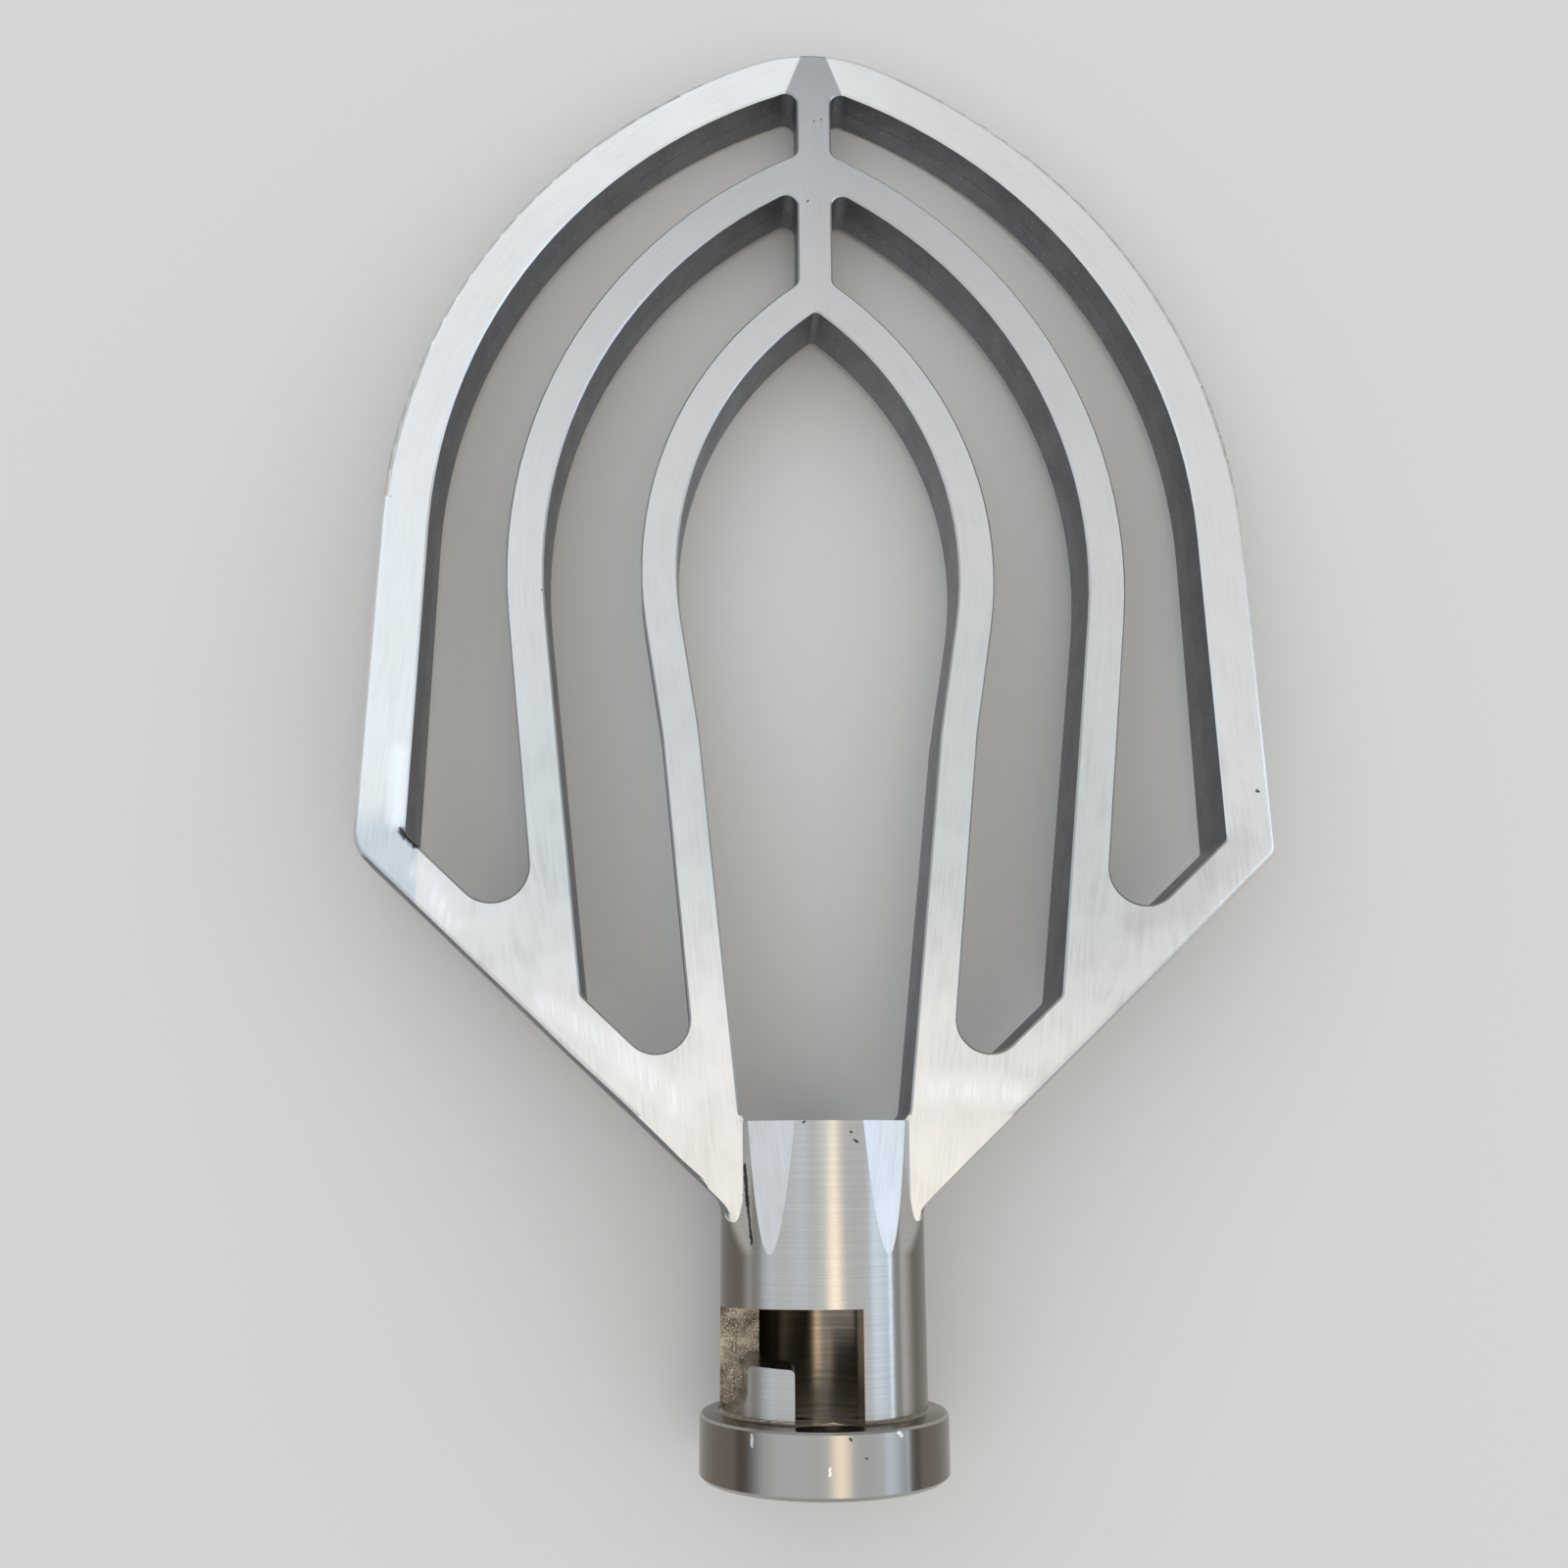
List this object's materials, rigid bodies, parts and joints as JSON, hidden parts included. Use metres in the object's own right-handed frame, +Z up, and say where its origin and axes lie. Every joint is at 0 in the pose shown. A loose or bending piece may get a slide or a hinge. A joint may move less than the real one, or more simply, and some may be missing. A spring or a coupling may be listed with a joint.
{
  "type": "stand mixer flat beater",
  "caption": "Cast aluminium flat beater: nested rounded loops on a centre rib, webs to a hub with a blind shaft bore, a bayonet slot and an end collar.",
  "frame": {"origin": "centre of the footprint's bounding box, on the surface that the beater lies on", "axes": "+Y from the hub's mouth towards the tip of the loops, +Z up from the surface, +X across the loops"},
  "size_m": [0.2042, 0.3362, 0.0522],
  "materials": {
    "cast_aluminium": "cast, belt ground on the faces and turned on the hub"
  },
  "bodies": {
    "root": {"flat_beater": "cast_aluminium"}
  },
  "joints": []
}
